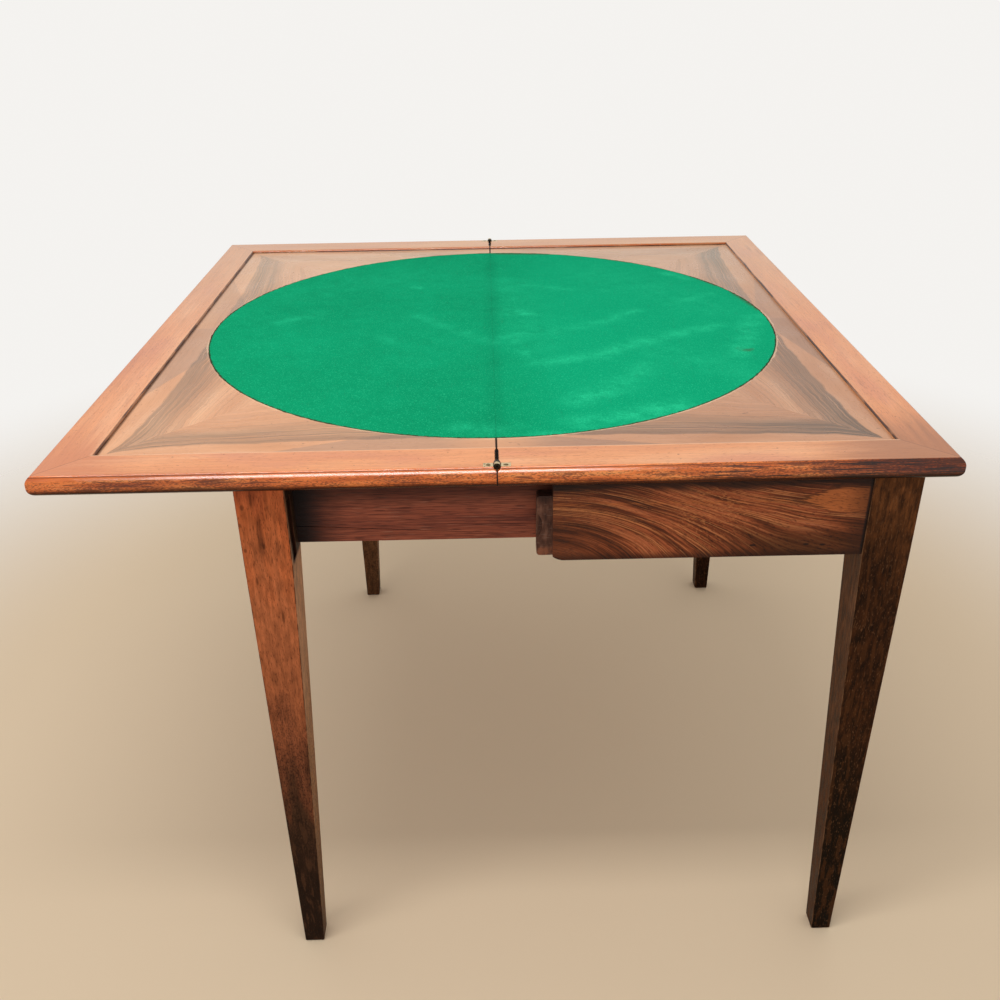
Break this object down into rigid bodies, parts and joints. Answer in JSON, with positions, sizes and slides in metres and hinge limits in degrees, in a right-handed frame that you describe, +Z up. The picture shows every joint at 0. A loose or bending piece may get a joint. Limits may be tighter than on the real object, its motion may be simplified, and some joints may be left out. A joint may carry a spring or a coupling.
{
  "type": "games table",
  "caption": "Square walnut games table with a round baize playing field; one leaf folds over the other and a legged frame slides out to carry it.",
  "frame": {"origin": "on the floor, under the middle of the hinge line of the open top", "axes": "+Z up, +X from the hinge line towards the fixed leaf and fixed legs, +Y along the hinge line away from the side seen in the picture"},
  "size_m": [0.9712, 0.97, 0.7537],
  "materials": {
    "dark_walnut_leg": "satin waxed walnut, dark with age",
    "red_walnut_leg": "satin waxed walnut, red-brown at the top and dark at the foot",
    "plain_walnut_rail": "satin waxed walnut, straight grained",
    "figured_walnut_veneer": "satin waxed figured walnut veneer",
    "rail_core": "plain sawn wood, darkened",
    "border_walnut": "glossy French-polished walnut, faded",
    "field_veneer": "glossy French-polished walnut veneer with dark figure",
    "inner_wood": "unfinished softwood",
    "baize": "emerald wool baize, lightly worn",
    "old_brass": "tarnished cast brass",
    "iron": "darkened steel wood screws"
  },
  "bodies": {
    "fixed_frame": {"fixed_near_leg": "dark_walnut_leg", "fixed_far_leg": "dark_walnut_leg", "fixed_near_rail": "rail_core", "fixed_far_rail": "rail_core", "fixed_near_rail_veneer": "figured_walnut_veneer", "fixed_far_rail_veneer": "figured_walnut_veneer", "front_apron": "inner_wood", "front_apron_veneer": "figured_walnut_veneer", "open_end_tie": "inner_wood", "near_slide_runner": "inner_wood", "far_slide_runner": "inner_wood", "top_glue_blocks": "inner_wood", "top_fixing_screws": "iron", "runner_screws": "iron", "fixed_leaf_core": "inner_wood", "fixed_leaf_outer_border": "border_walnut", "fixed_leaf_near_border": "border_walnut", "fixed_leaf_far_border": "border_walnut", "fixed_leaf_near_veneer": "field_veneer", "fixed_leaf_far_veneer": "field_veneer", "fixed_leaf_baize": "baize", "near_hinge_fixed_plate": "old_brass", "far_hinge_fixed_plate": "old_brass", "near_hinge_pin": "old_brass", "far_hinge_pin": "old_brass", "fixed_hinge_screws": "old_brass"},
    "sliding_frame": {"sliding_near_leg": "red_walnut_leg", "sliding_far_leg": "red_walnut_leg", "sliding_near_rail": "plain_walnut_rail", "sliding_far_rail": "plain_walnut_rail", "sliding_back_rail": "plain_walnut_rail", "sliding_inner_tie": "inner_wood", "sliding_rail_screws": "iron"},
    "folding_leaf": {"folding_leaf_core": "inner_wood", "folding_leaf_outer_border": "border_walnut", "folding_leaf_near_border": "border_walnut", "folding_leaf_far_border": "border_walnut", "folding_leaf_near_veneer": "field_veneer", "folding_leaf_far_veneer": "field_veneer", "folding_leaf_baize": "baize", "folding_leaf_outer_veneer": "figured_walnut_veneer", "near_hinge_folding_plate": "old_brass", "far_hinge_folding_plate": "old_brass", "folding_hinge_screws": "old_brass"}
  },
  "joints": [
    {"name": "frame_slide", "type": "slide", "parent": "fixed_frame", "child": "sliding_frame", "axis": [1, 0, 0], "range_m": [0, 0.289]},
    {"name": "leaf_fold", "type": "hinge", "parent": "fixed_frame", "child": "folding_leaf", "pos_m": [0, 0, 0.75015], "axis": [0, 1, 0], "range_deg": [0, 180]}
  ]
}
